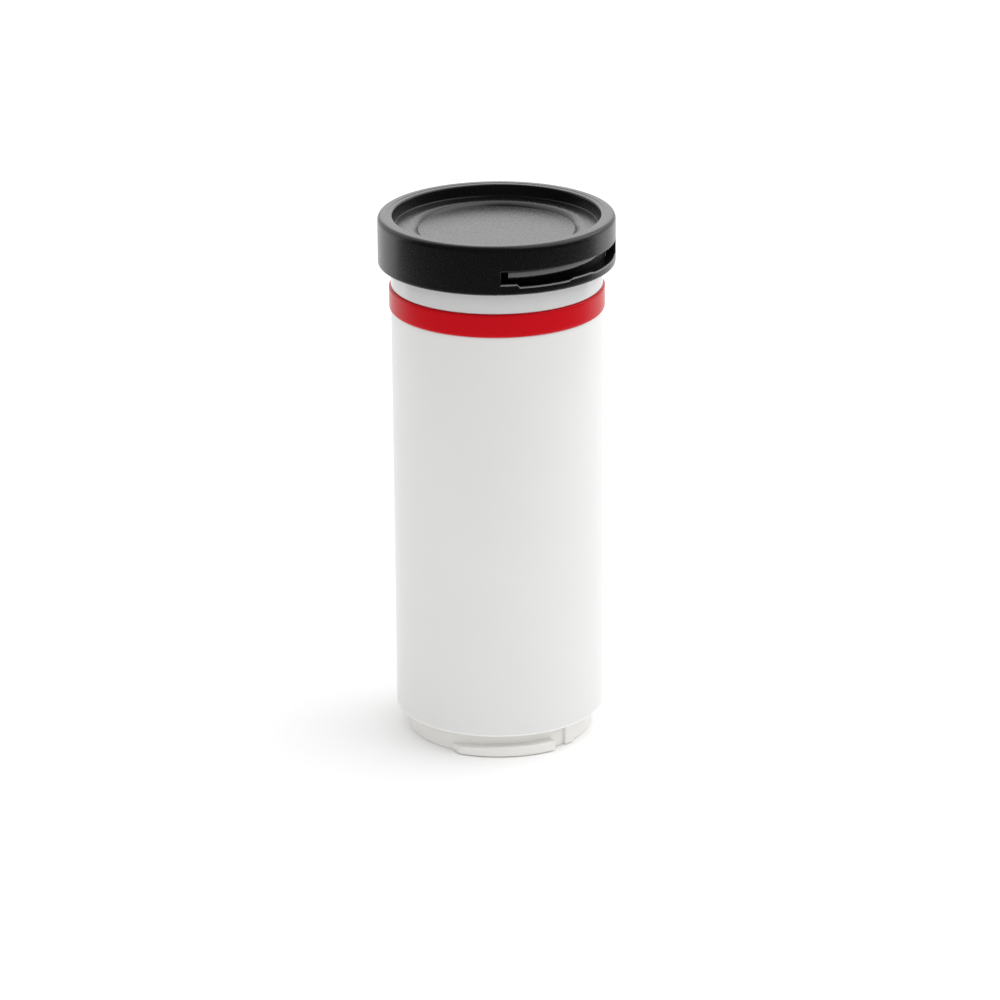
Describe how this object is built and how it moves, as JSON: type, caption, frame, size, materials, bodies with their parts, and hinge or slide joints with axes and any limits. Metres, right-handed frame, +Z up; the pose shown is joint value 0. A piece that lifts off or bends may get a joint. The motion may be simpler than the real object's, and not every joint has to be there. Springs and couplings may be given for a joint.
{
  "type": "pocket colour reader",
  "caption": "Hand-held tube colour reader with a twist-on lid that carries a white reference tile over the measuring port, and a sprung measure button on the back.",
  "frame": {"origin": "centre of the foot rim of the rear cap, on the tube's axis, at the surface it stands on", "axes": "+Z up along the tube towards the lid, -Y is the front, the measure button is on the back (+Y)"},
  "size_m": [0.038, 0.038, 0.0872],
  "materials": {
    "body_white": "satin white moulded tube",
    "ring_red": "satin red moulded ring",
    "neck_white": "polished white neck",
    "nose_black": "fine-textured black nose",
    "cap_grey": "warm light grey rear cap",
    "lid_black": "fine-textured black lid",
    "track_black": "smooth black bayonet ring",
    "rivet_brass": "plain rivet",
    "carrier_black": "black tile holder",
    "tile_white": null,
    "optics_black": "dead black optics block",
    "lamp_clear": "clear lamp body",
    "port_glass": "port glass",
    "seal_rubber": "soft light seal",
    "lens_glass": "sensor lens",
    "lens_ring_black": "lens ring",
    "board_green": "green solder mask",
    "chip_black": "moulded chips",
    "chassis_grey": "grey moulded frame",
    "radio_can": "tinned can",
    "socket_steel": "socket shell",
    "connector_white": "connector bodies",
    "ribbon_amber": "film ribbon",
    "cell_foil": "foil soft pack",
    "pad_foam": "foam pad",
    "lead_red": "insulated leads",
    "switch_black": "switch body",
    "plunger_white": "switch plunger",
    "guard_black": "switch guard",
    "button_white": "satin white button",
    "pipe_clear": "clear light pipe",
    "screw_steel": "small screws"
  },
  "bodies": {
    "reader": {"battery_cell": "cell_foil", "battery_connector": "connector_white", "battery_leads": "lead_red", "battery_pad": "pad_foam", "board_chips": "chip_black", "board_screws": "screw_steel", "body_tube": "body_white", "chassis": "chassis_grey", "chassis_screws": "screw_steel", "colour_sensor": "chip_black", "lens_ring": "lens_ring_black", "main_board": "board_green", "measuring_lamps": "lamp_clear", "measuring_nose": "nose_black", "neck_ring": "neck_white", "nose_screws": "screw_steel", "optics_block": "optics_black", "port_seal": "seal_rubber", "port_window": "port_glass", "radio_module": "radio_can", "rear_cap": "cap_grey", "rear_screws": "screw_steel", "red_ring": "ring_red", "ribbon_cable": "ribbon_amber", "ribbon_connectors": "connector_white", "sensor_board": "board_green", "sensor_lens": "lens_glass", "sensor_screws": "screw_steel", "status_led": "lamp_clear", "status_pipe": "pipe_clear", "switch_guard": "guard_black", "tact_switch": "switch_black", "usb_socket": "socket_steel"},
    "tile_holder": {"tile_carrier": "carrier_black", "white_tile": "tile_white"},
    "lid": {"lid_shell": "lid_black", "lid_track": "track_black", "tile_rivet": "rivet_brass"},
    "button": {"measure_button": "button_white"},
    "plunger": {"switch_plunger": "plunger_white"}
  },
  "joints": [
    {"name": "lid_lift", "type": "slide", "parent": "reader", "child": "tile_holder", "axis": [0, 0, 1], "range_m": [0, 0.045]},
    {"name": "lid_twist", "type": "hinge", "parent": "tile_holder", "child": "lid", "pos_m": [0, 0, 0.083], "axis": [0, 0, -1], "range_deg": [0, 77]},
    {"name": "button_press", "type": "slide", "parent": "reader", "child": "button", "axis": [0, -1, 0], "range_m": [0, 0.0005], "stiffness_N_per_m": 1500},
    {"name": "plunger_press", "type": "slide", "parent": "reader", "child": "plunger", "axis": [0, -1, 0], "range_m": [0, 0.0005]}
  ],
  "couplings": [
    {"joint": "plunger_press", "follows": "button_press", "ratio": 1}
  ]
}
